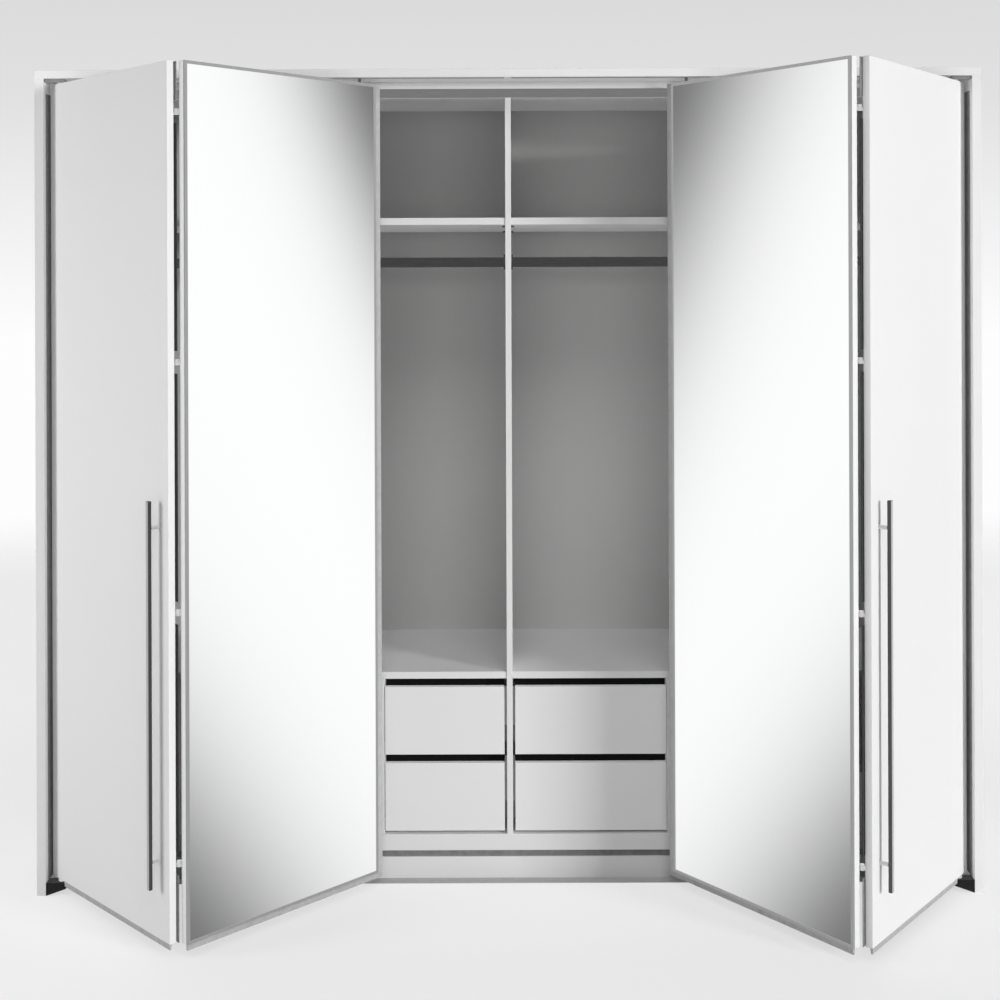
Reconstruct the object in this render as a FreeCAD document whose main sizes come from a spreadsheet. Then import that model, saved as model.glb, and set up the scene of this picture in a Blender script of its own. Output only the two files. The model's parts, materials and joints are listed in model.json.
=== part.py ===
"""Two-bay wardrobe with two pairs of bi-fold doors, shown half open.

Millimetres, +Z up. The origin is on the floor, in the middle of the wardrobe's width and of its
side panels' depth. The doors face -Y. A leaf's pieces are drawn about the leaf's own pin, as if
the door were closed, and then stand at the angle that the door has at rest.
"""

import FreeCAD, Part
import Sketcher
import math
import os
import re

# Driving sizes, each with its own cell in the sheet.
SIZES = {
    # Surround: side panels and top boards
    "width": 2500,
    "height": 2180,
    "depth": 615,
    "side_board": 24,
    "top_board": 22,
    "top_seam": 1,
    "edge_round": 1,
    # Carcass between the side panels
    "front_setback": 93,
    "inner_board": 19,
    "partition_board": 16,
    "back_board": 8,
    "back_inset": 3,
    "back_seam": 2,
    "shelf_inset": 3,
    "top_rail_tall": 24,
    "top_rail_deep": 20,
    "top_rail_wall": 2,
    "base_top": 126,
    "base_board": 22,
    "lipping_tall": 44,
    "lipping_board": 12,
    "plinth_board": 16,
    "plinth_gap": 2,
    "shadow_gap": 22,
    "rib_spacing": 610,
    "hat_space": 348,
    "support_wide": 8,
    "support_deep": 12,
    "support_tall": 5,
    "support_inset": 60,
    # Clothes rails, oval tubes between end flanges
    "rail_drop": 97,
    "rail_tall": 30,
    "rail_thick": 15,
    "rail_wall": 1.2,
    "flange_thick": 6,
    "flange_wide": 28,
    "flange_tall": 44,
    # Door leaves
    "left_angle": 46.7,
    "right_angle": 52.3,
    "door_recess": 5,
    "leaf_board": 18,
    "mirror_thick": 4,
    "mirror_edge": 0.8,
    "side_gap": 4,
    "fold_gap": 4,
    "centre_gap": 4,
    "leaf_bottom": 42,
    "leaf_top_gap": 13,
    "profile_face": 15,
    "profile_wall": 1.5,
    # Pivot pins, guide pins and what carries them
    "pivot_inset": 34,
    "guide_inset": 60,
    "pin_depth": 40,
    "pivot_radius": 5,
    "pivot_collar": 9,
    "pin_play": 0.05,
    "seat_play": 0.3,
    "bracket_margin": 14,
    "pivot_collar_tall": 8,
    "bottom_bracket_deep": 36,
    "bottom_bracket_floor": 17,
    "bottom_bracket_rise": 18,
    "top_bracket_gap": 4,
    "top_bracket_deep": 28,
    "guide_radius": 4,
    "guide_collar_radius": 6,
    "guide_collar_tall": 1.5,
    "roller_lift": 2,
    "roller_head": 1.5,
    "roller_play": 0.3,
    "channel_wide": 20,
    "channel_tall": 13,
    "channel_wall": 1.5,
    "channel_start": 90,
    "channel_end": 10,
    # Fold hinges between the two leaves of a pair
    "fold_offset": 7,
    "hinge_low": 188,
    "hinge_high": 121,
    "hinge_plate": 2.5,
    "hinge_tall": 44,
    "hinge_reach": 36,
    "hinge_clear": 8,
    "neck_overlap": 4,
    "neck_gap": 0.5,
    "neck_thick": 4,
    "knuckle_tall": 7,
    "knuckle_radius": 5.5,
    "hinge_pin_radius": 3,
    # Bar handles on the outer leaves
    "handle_rise": 125,
    "handle_length": 928,
    "handle_wide": 12,
    "handle_deep": 10,
    "handle_projection": 32,
    "handle_edge": 45,
    "handle_round": 2,
    "post_radius": 5,
    "post_inset": 65,
    # Drawers beside the partition
    "left_drawer_wide": 323,
    "right_drawer_wide": 409,
    "drawer_gap": 6.5,
    "support_gap": 2,
    "support_board": 16,
    "base_gap": 8,
    "tier_gap": 23,
    "shelf_gap": 22,
    "front_tall": 183,
    "front_board": 18,
    "box_board": 12,
    "box_rise": 12,
    "box_top_gap": 31,
    "box_back_gap": 70,
    "bottom_board": 6,
    "runner_thick": 6.2,
    "runner_play": 0.3,
    "runner_rise": 40,
    "rail_side_tall": 45,
    "box_side_tall": 35,
    "runner_end_gap": 20,
    "grip_wall": 2,
    "grip_drop": 20,
    "grip_gap": 6,
    "grip_deep": 24,
    # Brackets that tie the wardrobe to the wall behind it
    "wall_bracket_spacing": 1800,
    "wall_bracket_leg": 40,
    "wall_bracket_wide": 40,
    "wall_bracket_thick": 2,
    "wall_hole_radius": 3,
}

# Places that follow from the driving sizes.
DERIVED = {
    "front_y": "-depth / 2",
    "rear_y": "depth / 2",
    "inner_half": "width / 2 - side_board",
    "under_top": "height - top_board",
    "ceiling": "under_top - inner_board",
    "carcass_y": "front_y + front_setback",
    "wall_y": "rear_y - back_inset - back_board",
    "partition_half": "partition_board / 2",
    "base_under": "base_top - base_board",
    "lipping_back": "carcass_y + lipping_board",
    "plinth_y": "lipping_back + plinth_gap",
    "shelf_y": "carcass_y + shelf_inset",
    "hat_shelf_top": "ceiling - hat_space",
    "hat_shelf_under": "hat_shelf_top - inner_board",
    "lower_front_bottom": "base_top + base_gap",
    "upper_front_bottom": "lower_front_bottom + front_tall + tier_gap",
    "drawer_shelf_under": "upper_front_bottom + front_tall + shelf_gap",
    "drawer_shelf_top": "drawer_shelf_under + inner_board",
    "rail_y": "(carcass_y + wall_y) / 2",
    "rail_z": "hat_shelf_under - rail_drop",
    "leaf_half": "leaf_board / 2",
    "leaf_top": "under_top - leaf_top_gap",
    "leaf_pair": "inner_half - side_gap - fold_gap - centre_gap / 2",
    "leaf_reach": "(leaf_pair - pivot_inset - guide_inset) / 2",
    "pivot_y": "front_y + door_recess + mirror_thick + leaf_half",
    "pin_x": "inner_half - side_gap - pivot_inset",
    "fold_run": "leaf_reach + fold_gap / 2",
    "fold_back": "leaf_half + fold_offset",
    "hinge_step": "(leaf_top - leaf_bottom - hinge_low - hinge_high) / 3",
    "bottom_bracket_tall": "leaf_bottom - pivot_collar_tall",
    "top_bracket_low": "leaf_top + top_bracket_gap",
    "channel_roof": "under_top + channel_tall - channel_wall",
    "roller_low": "under_top + roller_lift",
    "roller_top": "channel_roof - roller_head",
    "roller_radius": "channel_wide / 2 - channel_wall - roller_play",
    "handle_run": "leaf_reach - handle_edge",
    "handle_front": "leaf_half + handle_projection",
    "handle_bottom": "leaf_bottom + handle_rise",
    "front_back_y": "shelf_y + front_board",
    "box_back_y": "wall_y - box_back_gap",
    "box_tall": "front_tall - box_rise - grip_drop - box_top_gap",
    "runner_space": "2 * runner_thick + runner_play",
    "drawer_start": "partition_half + drawer_gap",
    "box_start": "partition_half + runner_space",
    "left_support": "drawer_start + left_drawer_wide + support_gap",
    "right_support": "drawer_start + right_drawer_wide + support_gap",
}

SIDES = ("left", "right")
# Each tier of drawers, with the gap that is open above its fronts
TIERS = (("lower", "tier_gap"), ("upper", "shelf_gap"))
HINGES_PER_FOLD = 4

doc = FreeCAD.newDocument("BifoldWardrobe")
sheet = doc.addObject("Spreadsheet::Sheet", "Sizes")
for row, (alias, value) in enumerate(SIZES.items(), start=1):
    sheet.set(f"A{row}", alias)
    sheet.set(f"B{row}", str(value))
    sheet.setAlias(f"B{row}", alias)
doc.recompute()

nodes = []


def formula(text):
    """Expression in which each size points at its cell and each derived place is spelled out."""

    def spell(match):
        word = match.group()
        if word in SIZES:
            return f"Sizes.{word}"
        if word in DERIVED:
            return f"({formula(DERIVED[word])})"
        return word

    return re.sub(r"[a-z][a-z_]*", spell, text)


def outward(side, low, high):
    """Span on X between two distances from the middle plane, on the side that is named."""
    if side == "right":
        return low, high
    return f"-({high})", f"-({low})"


def inward(side, low, high):
    """Span on X in a leaf's own frame, where distances grow towards the wardrobe's middle."""
    if side == "left":
        return low, high
    return f"-({high})", f"-({low})"


def about(centre, breadth):
    """Span of a breadth about its centre."""
    return f"{centre} - ({breadth}) / 2", f"{centre} + ({breadth}) / 2"


def seat(thing, x="0", y="0", z="0"):
    """Puts an object's own origin at a place given by three formulas."""
    for axis, text in zip("xyz", (x, y, z)):
        thing.setExpression(f"Placement.Base.{axis}", formula(text))


def size_box(thing, x, y, z):
    """Gives a box its two faces on each axis, as pairs of formulas."""
    for size, (low, high) in zip(("Length", "Width", "Height"), (x, y, z)):
        thing.setExpression(size, formula(f"({high}) - ({low})"))
    seat(thing, x[0], y[0], z[0])


def size_rod(thing, x, y, z, radius):
    """Gives an upright cylinder its axis, its two ends and its radius."""
    low, high = z
    thing.setExpression("Height", formula(f"({high}) - ({low})"))
    thing.setExpression("Radius", formula(radius))
    seat(thing, x, y, low)


def node(piece, label):
    """Counts a finished piece as a node of the part."""
    piece.Label = label
    nodes.append(piece)
    return piece


def box(name, x, y, z):
    """Plain box with sharp edges."""
    piece = doc.addObject("Part::Box", name)
    size_box(piece, x, y, z)
    return piece


def rod(name, x, y, z, radius):
    """Upright cylinder."""
    piece = doc.addObject("Part::Cylinder", name)
    size_rod(piece, x, y, z, radius)
    return piece


def rod_along_y(name, x, y, z, radius):
    """Cylinder along Y between two ends."""
    low, high = y
    piece = doc.addObject("Part::Cylinder", name)
    piece.Placement = FreeCAD.Placement(FreeCAD.Vector(), FreeCAD.Rotation(FreeCAD.Vector(1, 0, 0), -90))
    piece.setExpression("Height", formula(f"({high}) - ({low})"))
    piece.setExpression("Radius", formula(radius))
    seat(piece, x, low, z)
    return piece


def gusset(name, side):
    """Bracket on a side panel whose underside rises towards its free end."""
    piece = doc.addObject("Part::Wedge", name)
    turn = -90 if side == "left" else 90
    piece.Placement = FreeCAD.Placement(FreeCAD.Vector(), FreeCAD.Rotation(FreeCAD.Vector(0, 0, 1), turn))
    limits = {
        "Ymin": "0",
        "Ymax": "inner_half - pin_x + bracket_margin",
        "Zmin": "0",
        "Zmax": "bottom_bracket_tall",
        "Z2min": "bottom_bracket_rise",
        "Z2max": "bottom_bracket_tall",
    }
    for end in ("X", "X2"):
        limits[f"{end}min"] = "-bottom_bracket_deep / 2"
        limits[f"{end}max"] = "bottom_bracket_deep / 2"
    for limit, text in limits.items():
        piece.setExpression(limit, formula(text))
    panel, _ = outward(side, "inner_half", "inner_half")
    seat(piece, panel, "pivot_y")
    return piece


def fuse(name, pieces):
    """One solid from several overlapping ones."""
    piece = doc.addObject("Part::MultiFuse", name)
    piece.Shapes = pieces
    piece.Refine = True
    return piece


def cut(name, base, tool):
    """A solid less another."""
    piece = doc.addObject("Part::Cut", name)
    piece.Base = base
    piece.Tool = tool
    return piece


def group(label, pieces):
    """Several separate solids that share one node."""
    piece = doc.addObject("Part::Compound", label)
    piece.Links = pieces
    return node(piece, label)


def block(name, x, y, z, ease="edge_round", notches=(), holes=()):
    """Body made as a box with eased edges, less box-shaped notches and upright round holes."""
    body = doc.addObject("PartDesign::Body", name)
    base = body.newObject("PartDesign::AdditiveBox", name + "_box")
    size_box(base, x, y, z)
    doc.recompute()
    rounding = body.newObject("PartDesign::Fillet", name + "_ease")
    rounding.Base = (base, [f"Edge{number}" for number in range(1, 13)])
    rounding.setExpression("Radius", formula(ease))
    for number, spans in enumerate(notches):
        notch = body.newObject("PartDesign::SubtractiveBox", f"{name}_notch_{number}")
        size_box(notch, *spans)
    for number, spans in enumerate(holes):
        hole = body.newObject("PartDesign::SubtractiveCylinder", f"{name}_hole_{number}")
        size_rod(hole, *spans)
    return body


def board(label, x, y, z, **details):
    """Panel that is a node by itself."""
    return node(block(label, x, y, z, **details), label)


def outer_frame(side):
    """Place and turn of a side's outer leaf: its pivot pin and its angle at rest."""
    if side == "left":
        return "-pin_x", "-left_angle"
    return "pin_x", "right_angle"


def inner_frame(side):
    """Place and turn of a side's inner leaf: its guide pin, which stays on the pivot line."""
    angle = f"{side}_angle"
    folded = f"pin_x - 2 * (fold_run * cos({angle}) + fold_back * sin({angle}))"
    if side == "left":
        return f"-({folded})", angle
    return folded, f"-{angle}"


def stand(piece, frame):
    """Moves a piece that is drawn about its leaf's pin to the leaf's place and angle."""
    x, angle = frame
    seat(piece, x, "pivot_y")
    piece.setExpression("Placement.Rotation.Angle", formula(angle))
    return piece


# Surround


def channel_span(side):
    """Length of a guide channel on X, from near the pivot to near the middle."""
    return outward(side, "channel_end", "pin_x - channel_start")


def channel_box():
    """Section of a guide channel: its spans on Y and Z."""
    return about("pivot_y", "channel_wide"), ("under_top", "under_top + channel_tall")


def build_surround():
    """Side panels, and top boards that lie on them and hold the guide channels in grooves."""
    for side in SIDES:
        x = outward(side, "inner_half", "width / 2")
        board(f"side_panel_{side}", x, ("front_y", "rear_y"), ("0", "under_top"))
        x = outward(side, "top_seam / 2", "width / 2")
        groove = (channel_span(side), *channel_box())
        board(f"top_board_{side}", x, ("front_y", "rear_y"), ("under_top", "height"), notches=[groove])


# Carcass


def build_carcass():
    """Boards between the side panels: top, rail, base, plinth, partition, backs and shelves."""
    across = ("-inner_half", "inner_half")
    inside = ("carcass_y", "wall_y")
    rail_y_span = ("carcass_y", "carcass_y + top_rail_deep")
    rail_z_span = ("ceiling - top_rail_tall", "ceiling")
    board("carcass_top", across, inside, ("ceiling", "under_top"))
    bore_y = ("carcass_y + top_rail_wall", "carcass_y + top_rail_deep - top_rail_wall")
    bore_z = ("ceiling - top_rail_tall + top_rail_wall", "ceiling - top_rail_wall")
    board("top_rail", across, rail_y_span, rail_z_span, notches=[(across, bore_y, bore_z)])

    base_z = ("base_under", "base_top")
    board("base_panel", across, ("lipping_back", "wall_y"), base_z)
    lipping_z = ("base_top - lipping_tall", "base_top")
    board("base_lipping", across, ("carcass_y", "lipping_back"), lipping_z)
    behind_plinth = "plinth_y + plinth_board"
    board("plinth_front", across, ("plinth_y", behind_plinth), ("0", "base_top - lipping_tall - shadow_gap"))
    ribs = []
    for name, x in (("left", "-rib_spacing"), ("centre", "0"), ("right", "rib_spacing")):
        rib_x = about(x, "plinth_board")
        ribs.append(box(f"plinth_rib_{name}", rib_x, (behind_plinth, "wall_y"), ("0", "base_under")))
    group("plinth_ribs", ribs)

    partition_x = about("0", "partition_board")
    rail_notch = (partition_x, rail_y_span, rail_z_span)
    board("centre_partition", partition_x, inside, ("base_top", "ceiling"), notches=[rail_notch])
    shelf_span = ("shelf_y", "wall_y")
    for side in SIDES:
        x = outward(side, "back_seam / 2", "inner_half")
        board(f"back_panel_{side}", x, ("wall_y", "wall_y + back_board"), ("base_under", "under_top"))
        bay = outward(side, "partition_half", "inner_half")
        board(f"hat_shelf_{side}", bay, shelf_span, ("hat_shelf_under", "hat_shelf_top"))
        board(f"drawer_shelf_{side}", bay, shelf_span, ("drawer_shelf_under", "drawer_shelf_top"))
        x = outward(side, f"{side}_support", f"{side}_support + support_board")
        board(f"drawer_support_{side}", x, shelf_span, ("base_top", "drawer_shelf_under"))
    build_shelf_supports()


def build_shelf_supports():
    """Small blocks on the panels, under the ends of the shelves."""
    ends = (
        ("inner", "partition_half", "partition_half + support_wide"),
        ("outer", "inner_half - support_wide", "inner_half"),
    )
    rows = (
        ("front", "shelf_y + support_inset", "shelf_y + support_inset + support_deep"),
        ("rear", "wall_y - support_inset - support_deep", "wall_y - support_inset"),
    )
    supports = []
    for side in SIDES:
        for shelf, top in (("hat", "hat_shelf_under"), ("drawer", "drawer_shelf_under")):
            for end, near, far in ends:
                for row_name, front, rear in rows:
                    name = f"support_{side}_{shelf}_{end}_{row_name}"
                    z = (f"{top} - support_tall", top)
                    supports.append(box(name, outward(side, near, far), (front, rear), z))
    group("shelf_supports", supports)


# Clothes rails


def draw_oval(sketch, first, radius, spread):
    """Upright oval about the sketch's origin: two lines and two half circles, fully constrained."""
    point = FreeCAD.Vector
    size = 1.0 + first
    sketch.addGeometry(Part.LineSegment(point(size, -size, 0), point(size, size, 0)))
    upper = Part.Circle(point(0, size, 0), point(0, 0, 1), size)
    sketch.addGeometry(Part.ArcOfCircle(upper, 0, math.pi))
    sketch.addGeometry(Part.LineSegment(point(-size, size, 0), point(-size, -size, 0)))
    lower = Part.Circle(point(0, -size, 0), point(0, 0, 1), size)
    sketch.addGeometry(Part.ArcOfCircle(lower, math.pi, 2 * math.pi))
    line_a, arc_a, line_b, arc_b = range(first, first + 4)
    limit = Sketcher.Constraint
    for pair in ((line_a, 2, arc_a, 1), (arc_a, 2, line_b, 1), (line_b, 2, arc_b, 1), (arc_b, 2, line_a, 1)):
        sketch.addConstraint(limit("Tangent", *pair))
    sketch.addConstraint(limit("Equal", arc_a, arc_b))
    sketch.addConstraint(limit("PointOnObject", arc_a, 3, -2))
    sketch.addConstraint(limit("Symmetric", arc_a, 3, arc_b, 3, -1, 1))
    index = sketch.addConstraint(limit("Radius", arc_a, size))
    sketch.setExpression(f"Constraints[{index}]", formula(radius))
    index = sketch.addConstraint(limit("DistanceY", arc_b, 3, arc_a, 3, 2 * size))
    sketch.setExpression(f"Constraints[{index}]", formula(spread))


def build_clothes_rails():
    """Oval tubes that hang across the bays between flanges on the panels."""
    flanges = []
    for side in SIDES:
        label = f"clothes_rail_{side}"
        body = doc.addObject("PartDesign::Body", label)
        sketch = body.newObject("Sketcher::SketchObject", label + "_section")
        planes = {feature.Role: feature for feature in body.Origin.OriginFeatures}
        sketch.AttachmentSupport = (planes["YZ_Plane"], [""])
        sketch.MapMode = "FlatFace"
        spread = "rail_tall - rail_thick"
        draw_oval(sketch, 0, "rail_thick / 2", spread)
        draw_oval(sketch, 4, "rail_thick / 2 - rail_wall", spread)
        tube = body.newObject("PartDesign::Pad", label + "_tube")
        tube.Profile = sketch
        tube.setExpression("Length", formula("inner_half - partition_half - 2 * flange_thick"))
        start, _ = outward(side, "partition_half + flange_thick", "inner_half - flange_thick")
        seat(body, start, "rail_y", "rail_z")
        node(body, label)
        ends = (
            ("inner", "partition_half", "partition_half + flange_thick"),
            ("outer", "inner_half - flange_thick", "inner_half"),
        )
        for end, near, far in ends:
            y = about("rail_y", "flange_wide")
            z = about("rail_z", "flange_tall")
            flanges.append(box(f"flange_{side}_{end}", outward(side, near, far), y, z))
    group("rail_flanges", flanges)


# Door hardware that stays with the carcass


def build_door_hardware():
    """Guide channels let into the top boards, and the brackets that hold the pivot pins."""
    channels, bottoms, tops = [], [], []
    channel_y, channel_z = channel_box()
    for side in SIDES:
        x = channel_span(side)
        outside = box(f"channel_outside_{side}", x, channel_y, channel_z)
        inside_y = about("pivot_y", "channel_wide - 2 * channel_wall")
        inside_z = ("under_top", "channel_roof")
        inside = box(f"channel_inside_{side}", x, inside_y, inside_z)
        channels.append(cut(f"guide_channel_{side}", outside, inside))

        x = outward(side, "pin_x - bracket_margin", "inner_half")
        pin, _ = outer_frame(side)
        bore_radius = "pivot_radius + pin_play"
        solid = gusset(f"bottom_bracket_block_{side}", side)
        bore_z = ("bottom_bracket_floor", "bottom_bracket_tall")
        bore = rod(f"bottom_bracket_bore_{side}", pin, "pivot_y", bore_z, bore_radius)
        bottoms.append(cut(f"bottom_bracket_{side}", solid, bore))

        z = ("top_bracket_low", "under_top")
        solid = box(f"top_bracket_block_{side}", x, about("pivot_y", "top_bracket_deep"), z)
        bore = rod(f"top_bracket_bore_{side}", pin, "pivot_y", z, bore_radius)
        tops.append(cut(f"top_bracket_{side}", solid, bore))
    group("guide_channels", channels)
    group("bottom_pivot_brackets", bottoms)
    group("top_pivot_brackets", tops)


# Doors


def hinge_height(number):
    """Height of the middle of one fold hinge."""
    return f"leaf_bottom + hinge_low + {number} * hinge_step"


def hinge_leaf(name, side, axis, towards, height, knuckle_z):
    """Plate on a leaf's back, with a neck to a knuckle on the fold axis.

    The fold axis lies at a distance along the leaf, and the plate lies from it towards -1 or 1.
    """
    near = f"{axis} + ({towards}) * hinge_clear"
    far = f"{axis} + ({towards}) * hinge_reach"
    overlap = f"{axis} + ({towards}) * (hinge_clear + neck_overlap)"
    plate_x = (far, near) if towards < 0 else (near, far)
    neck_x = (overlap, axis) if towards < 0 else (axis, overlap)
    plate_y = ("leaf_half", "leaf_half + hinge_plate")
    plate = box(name + "_plate", inward(side, *plate_x), plate_y, about(height, "hinge_tall"))
    neck_y = ("leaf_half + neck_gap", "leaf_half + neck_gap + neck_thick")
    neck = box(name + "_neck", inward(side, *neck_x), neck_y, knuckle_z)
    axis_x, _ = inward(side, axis, axis)
    knuckle = rod(name + "_knuckle", axis_x, "fold_back", knuckle_z, "knuckle_radius")
    return [plate, neck, knuckle], axis_x


def build_outer_leaf(side):
    """White leaf that turns on its pivot pins, with its handle and its half of the fold hinges."""
    frame = outer_frame(side)
    leaf_z = ("leaf_bottom", "leaf_top")
    x = inward(side, "-pivot_inset", "leaf_reach")
    pin_holes = (
        ("0", "0", ("leaf_bottom", "leaf_bottom + pin_depth"), "pivot_radius"),
        ("0", "0", ("leaf_top - pin_depth", "leaf_top"), "pivot_radius"),
    )
    panel = board(f"{side}_outer_panel", x, ("-leaf_half", "leaf_half"), leaf_z, holes=pin_holes)
    stand(panel, frame)

    name = f"{side}_handle"
    bar_x = inward(side, *about("handle_run", "handle_wide"))
    bar_y = ("-handle_front", "-handle_front + handle_deep")
    bar_z = ("handle_bottom", "handle_bottom + handle_length")
    bar = block(name + "_bar", bar_x, bar_y, bar_z, ease="handle_round")
    post_x, _ = inward(side, "handle_run", "handle_run")
    post_y = ("-handle_front + handle_deep / 2", "-leaf_half")
    low = rod_along_y(name + "_low", post_x, post_y, "handle_bottom + post_inset", "post_radius")
    high_z = "handle_bottom + handle_length - post_inset"
    high = rod_along_y(name + "_high", post_x, post_y, high_z, "post_radius")
    stand(node(fuse(name, [bar, low, high]), name), frame)

    name = f"{side}_pivot_pins"
    low_z = ("bottom_bracket_floor + seat_play", "leaf_bottom + pin_depth")
    shank = rod(name + "_low_shank", "0", "0", low_z, "pivot_radius")
    collar_z = ("bottom_bracket_tall + seat_play", "leaf_bottom")
    collar = rod(name + "_low_collar", "0", "0", collar_z, "pivot_collar")
    top_z = ("leaf_top - pin_depth", "under_top - seat_play")
    top = rod(name + "_top", "0", "0", top_z, "pivot_radius")
    stand(group(name, [fuse(name + "_low", [shank, collar]), top]), frame)

    plates = []
    for number in range(HINGES_PER_FOLD):
        name = f"{side}_fold_outer_{number}"
        height = hinge_height(number)
        knuckle_z = (f"{height} - knuckle_tall - seat_play / 2", f"{height} - seat_play / 2")
        pieces, axis_x = hinge_leaf(name, side, "fold_run", -1, height, knuckle_z)
        bore = rod(name + "_bore", axis_x, "fold_back", knuckle_z, "hinge_pin_radius + pin_play")
        plates.append(cut(name, fuse(name + "_solid", pieces), bore))
    stand(group(f"{side}_fold_hinges_outer", plates), frame)


def build_inner_leaf(side):
    """Mirrored leaf with its edge profile, its half of the fold hinges, guide pin and roller."""
    frame = inner_frame(side)
    leaf_z = ("leaf_bottom", "leaf_top")
    fold_edge = "-leaf_reach"
    panel_x = inward(side, fold_edge, "guide_inset - profile_wall")
    pin_hole = ("0", "0", ("leaf_top - pin_depth", "leaf_top"), "guide_radius")
    panel = board(f"{side}_inner_panel", panel_x, ("-leaf_half", "leaf_half"), leaf_z, holes=[pin_hole])
    stand(panel, frame)

    glass_y = ("-leaf_half - mirror_thick", "-leaf_half")
    glass_x = inward(side, fold_edge, "guide_inset - profile_face")
    stand(board(f"{side}_mirror", glass_x, glass_y, leaf_z, ease="mirror_edge"), frame)

    name = f"{side}_edge_profile"
    face_x = inward(side, "guide_inset - profile_face", "guide_inset")
    face = box(name + "_face", face_x, glass_y, leaf_z)
    lip_x = inward(side, "guide_inset - profile_wall", "guide_inset")
    lip = box(name + "_lip", lip_x, ("-leaf_half - mirror_thick", "leaf_half"), leaf_z)
    stand(node(fuse(name, [face, lip]), name), frame)

    plates = []
    for number in range(HINGES_PER_FOLD):
        name = f"{side}_fold_inner_{number}"
        height = hinge_height(number)
        knuckle_z = (f"{height} + seat_play / 2", f"{height} + seat_play / 2 + knuckle_tall")
        pieces, axis_x = hinge_leaf(name, side, "-fold_run", 1, height, knuckle_z)
        pin_z = (f"{height} - knuckle_tall - seat_play / 2", knuckle_z[1])
        pieces.append(rod(name + "_pin", axis_x, "fold_back", pin_z, "hinge_pin_radius"))
        plates.append(fuse(name, pieces))
    stand(group(f"{side}_fold_hinges_inner", plates), frame)

    name = f"{side}_guide_pin"
    shank = rod(name + "_shank", "0", "0", ("leaf_top - pin_depth", "roller_top"), "guide_radius")
    under_roller = "roller_low - seat_play"
    collar_z = (f"{under_roller} - guide_collar_tall", under_roller)
    collar = rod(name + "_collar", "0", "0", collar_z, "guide_collar_radius")
    stand(node(fuse(name, [shank, collar]), name), frame)

    name = f"{side}_guide_roller"
    body = doc.addObject("PartDesign::Body", name)
    roller_z = ("roller_low", "roller_top")
    tyre = body.newObject("PartDesign::AdditiveCylinder", name + "_tyre")
    size_rod(tyre, "0", "0", roller_z, "roller_radius")
    hole = body.newObject("PartDesign::SubtractiveCylinder", name + "_bore")
    size_rod(hole, "0", "0", roller_z, "guide_radius + pin_play")
    stand(node(body, name), frame)


# Drawers


def build_drawer(side, tier, gap_above, rails):
    """Drawer with a front, a box on runners and a grip trough behind the front's upper edge."""
    label = f"drawer_{tier}_{side}"
    bottom = f"{tier}_front_bottom"
    top = f"{bottom} + front_tall"
    outer_end = f"drawer_start + {side}_drawer_wide"
    front_x = outward(side, "drawer_start", outer_end)
    board(f"{label}_front", front_x, ("shelf_y", "front_back_y"), (bottom, top))

    floor = f"{bottom} + box_rise"
    box_end = f"{side}_support - runner_space"
    sides_y = ("front_back_y", "box_back_y")
    sides_z = (floor, f"{floor} + box_tall")
    inner_x = ("box_start", "box_start + box_board")
    outer_x = (f"{box_end} - box_board", box_end)
    between = outward(side, inner_x[1], outer_x[0])
    back_y = ("box_back_y - box_board", "box_back_y")
    bottom_z = (floor, f"{floor} + bottom_board")
    pieces = [
        box(f"{label}_side_inner", outward(side, *inner_x), sides_y, sides_z),
        box(f"{label}_side_outer", outward(side, *outer_x), sides_y, sides_z),
        box(f"{label}_back", between, back_y, sides_z),
        box(f"{label}_bottom", between, ("front_back_y", back_y[0]), bottom_z),
    ]
    runner_y = ("front_back_y", "box_back_y - runner_end_gap")
    runner_z = f"{floor} + runner_rise"
    on_box = (("box_start - runner_thick", "box_start"), (box_end, f"{box_end} + runner_thick"))
    on_carcass = (
        ("partition_half", "partition_half + runner_thick"),
        (f"{side}_support - runner_thick", f"{side}_support"),
    )
    for end, x in zip(("inner", "outer"), on_box):
        z = about(runner_z, "box_side_tall")
        pieces.append(box(f"{label}_runner_{end}", outward(side, *x), runner_y, z))
    for end, x in zip(("inner", "outer"), on_carcass):
        z = about(runner_z, "rail_side_tall")
        rails.append(box(f"{label}_rail_{end}", outward(side, *x), runner_y, z))
    group(f"{label}_box", pieces)

    name = f"{label}_grip"
    ledge_y = ("front_back_y", "front_back_y + grip_deep")
    ledge_z = (f"{top} - grip_drop", f"{top} - grip_drop + grip_wall")
    ledge = box(name + "_ledge", front_x, ledge_y, ledge_z)
    wall_y = ("front_back_y + grip_deep - grip_wall", ledge_y[1])
    wall = box(name + "_wall", front_x, wall_y, (ledge_z[0], f"{top} + {gap_above} - grip_gap"))
    node(fuse(name, [ledge, wall]), name)


def build_drawers():
    """Two drawers on each side of the partition, and the runner rails that carry them."""
    rails = []
    for side in SIDES:
        for tier, gap_above in TIERS:
            build_drawer(side, tier, gap_above, rails)
    group("drawer_runner_rails", rails)


# Wall brackets


def build_wall_brackets():
    """Angles on the rear of the top boards, each with a hole for a screw into the wall."""
    brackets = []
    for side in SIDES:
        name = f"wall_bracket_{side}"
        centre, _ = outward(side, "wall_bracket_spacing / 2", "wall_bracket_spacing / 2")
        x = about(centre, "wall_bracket_wide")
        flat_y = ("rear_y - wall_bracket_leg", "rear_y")
        flat = box(name + "_flat", x, flat_y, ("height", "height + wall_bracket_thick"))
        leg_y = ("rear_y - wall_bracket_thick", "rear_y")
        leg = box(name + "_leg", x, leg_y, ("height", "height + wall_bracket_leg"))
        hole_z = "height + wall_bracket_leg / 2"
        hole = rod_along_y(name + "_hole", centre, leg_y, hole_z, "wall_hole_radius")
        brackets.append(cut(name, fuse(name + "_angle", [flat, leg]), hole))
    group("wall_brackets", brackets)


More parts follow.
